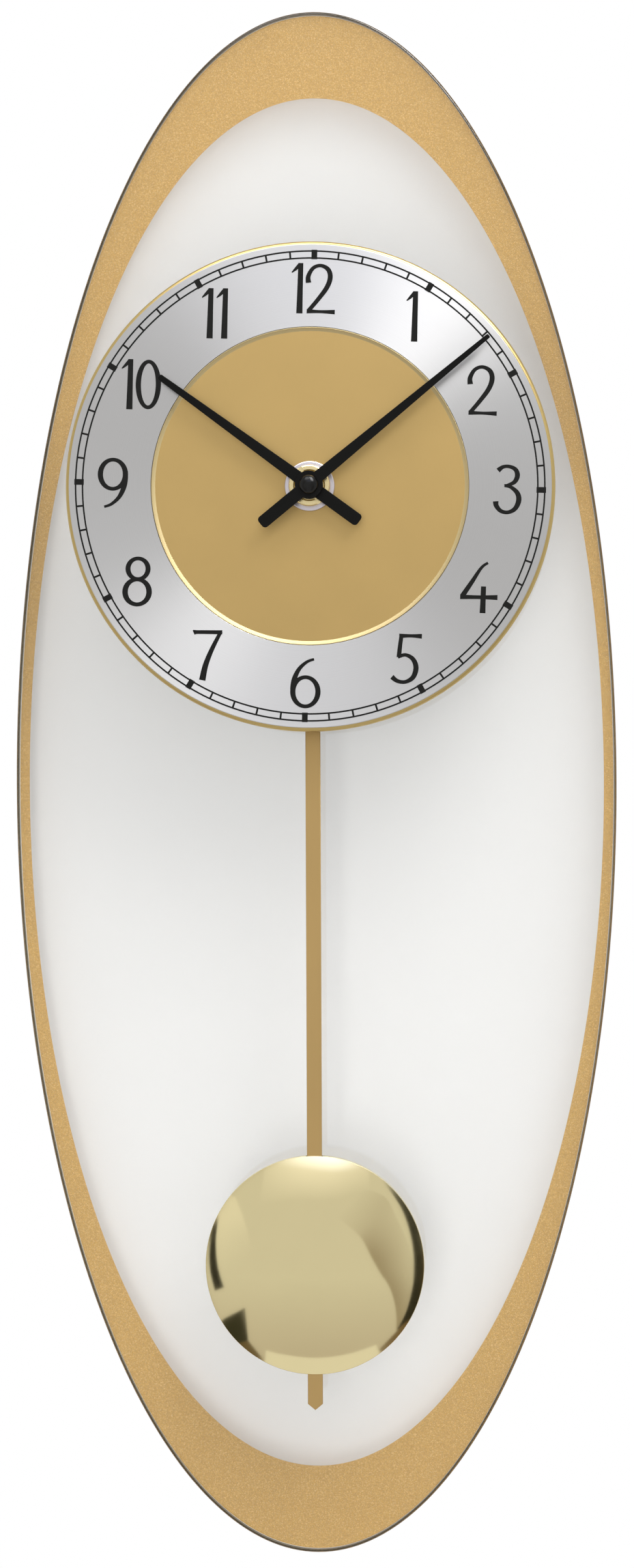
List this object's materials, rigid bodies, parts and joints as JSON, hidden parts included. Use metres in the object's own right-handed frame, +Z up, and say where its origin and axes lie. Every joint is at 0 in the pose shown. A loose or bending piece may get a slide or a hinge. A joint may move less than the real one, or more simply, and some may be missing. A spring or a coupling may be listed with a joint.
{
  "type": "pendulum wall clock",
  "caption": "Oval glass wall clock with a gold border, a round brushed-metal dial with Arabic numerals, black baton hands and a short brass pendulum with a round bob",
  "frame": {"origin": "the point where the wall screw bears in the top of the keyhole, on the wall plane", "axes": "+Z up along the long side of the glass, +Y into the wall, so the dial faces -Y"},
  "size_m": [0.195, 0.0603, 0.5],
  "materials": {
    "clear_glass": "polished",
    "gold_print": "satin",
    "gold_lacquer": "satin",
    "brushed_aluminium": "brushed",
    "polished_brass": "polished",
    "plain_brass": "satin",
    "black_lacquer": "satin",
    "zinc_steel": "satin",
    "black_steel": "powder coated",
    "black_plastic": "matte",
    "white_plastic": "matte",
    "clear_plastic": "satin",
    "black_rubber": "matte",
    "grey_felt": "matte",
    "copper_wire": "wound",
    "green_board": "satin",
    "magnet_nickel": "polished",
    "battery_sleeve": "gloss"
  },
  "bodies": {
    "root": {"glass_panel": "clear_glass", "gold_band": "gold_print", "wall_bumper_left": "clear_plastic", "wall_bumper_right": "clear_plastic", "bumper_pad_left": "grey_felt", "bumper_pad_right": "grey_felt", "hanger_tray": "black_steel", "hanger_plate": "zinc_steel", "rear_gasket": "black_rubber", "carrier_bracket": "zinc_steel", "glass_grommet_1": "black_rubber", "glass_grommet_2": "black_rubber", "glass_grommet_3": "black_rubber", "glass_grommet_4": "black_rubber", "glass_screw_1": "zinc_steel", "glass_screw_2": "zinc_steel", "glass_screw_3": "zinc_steel", "glass_screw_4": "zinc_steel", "movement_case": "black_plastic", "movement_cover": "black_plastic", "threaded_bush": "plain_brass", "battery": "battery_sleeve", "battery_contact_plus": "zinc_steel", "battery_contact_minus": "zinc_steel", "circuit_board": "green_board", "quartz_crystal": "zinc_steel", "motor_coil": "copper_wire", "motor_stator": "zinc_steel", "drive_coil": "copper_wire", "pivot_pin": "zinc_steel", "rubber_washer": "black_rubber", "dial_base": "gold_lacquer", "numeral_ring": "brushed_aluminium", "centre_disc": "gold_lacquer", "dial_washer": "zinc_steel", "ring_nut": "plain_brass"},
    "minute": {"minute_shaft": "plain_brass", "minute_hand": "black_lacquer", "hand_nut": "black_lacquer"},
    "hour": {"hour_wheel": "white_plastic", "hour_hand": "black_lacquer"},
    "motion": {"motion_wheel": "white_plastic"},
    "knob": {"setting_knob": "black_plastic"},
    "seconds": {"seconds_wheel": "white_plastic"},
    "intermediate": {"intermediate_wheel": "white_plastic"},
    "rotor": {"rotor": "magnet_nickel"},
    "third": {"third_wheel": "white_plastic"},
    "centre": {"centre_wheel": "plain_brass"},
    "pendulum": {"pendulum_lever": "white_plastic", "lever_magnet": "magnet_nickel", "pendulum_rod": "gold_lacquer"},
    "bob": {"bob_shell": "polished_brass", "bob_back": "plain_brass", "bob_clip": "zinc_steel"}
  },
  "joints": [
    {"name": "minute_turn", "type": "hinge", "parent": "root", "child": "minute", "pos_m": [0, -0.05, -0.042], "axis": [0, 1, 0], "continuous": true},
    {"name": "hour_turn", "type": "hinge", "parent": "root", "child": "hour", "pos_m": [0, -0.048, -0.042], "axis": [0, 1, 0], "continuous": true},
    {"name": "motion_turn", "type": "hinge", "parent": "root", "child": "motion", "pos_m": [0.008, -0.037, -0.036], "axis": [0, 1, 0], "continuous": true},
    {"name": "knob_turn", "type": "hinge", "parent": "root", "child": "knob", "pos_m": [0.014, -0.028, -0.028], "axis": [0, 1, 0], "continuous": true},
    {"name": "seconds_turn", "type": "hinge", "parent": "root", "child": "seconds", "pos_m": [-0.01325, -0.032, -0.02872], "axis": [0, 1, 0], "continuous": true},
    {"name": "intermediate_turn", "type": "hinge", "parent": "root", "child": "intermediate", "pos_m": [-0.00335, -0.028, -0.02625], "axis": [0, 1, 0], "continuous": true},
    {"name": "rotor_turn", "type": "hinge", "parent": "root", "child": "rotor", "pos_m": [0.00204, -0.027, -0.02362], "axis": [0, 1, 0], "continuous": true},
    {"name": "third_turn", "type": "hinge", "parent": "root", "child": "third", "pos_m": [-0.0102, -0.034, -0.03845], "axis": [0, 1, 0], "continuous": true},
    {"name": "centre_turn", "type": "hinge", "parent": "root", "child": "centre", "pos_m": [0, -0.035, -0.042], "axis": [0, 1, 0], "continuous": true},
    {"name": "pendulum_swing", "type": "hinge", "parent": "root", "child": "pendulum", "pos_m": [0, -0.0333, -0.07446], "axis": [0, 1, 0], "range_deg": [-5, 5]},
    {"name": "bob_slide", "type": "slide", "parent": "pendulum", "child": "bob", "axis": [0, 0, 1], "range_m": [-0.01, 0.04]}
  ],
  "couplings": [
    {"joint": "hour_turn", "follows": "minute_turn", "ratio": 0.083333},
    {"joint": "motion_turn", "follows": "minute_turn", "ratio": -0.33333},
    {"joint": "knob_turn", "follows": "minute_turn", "ratio": 1},
    {"joint": "intermediate_turn", "follows": "seconds_turn", "ratio": -7.5},
    {"joint": "rotor_turn", "follows": "seconds_turn", "ratio": 30},
    {"joint": "third_turn", "follows": "seconds_turn", "ratio": -0.13333},
    {"joint": "centre_turn", "follows": "seconds_turn", "ratio": 0.016667}
  ]
}
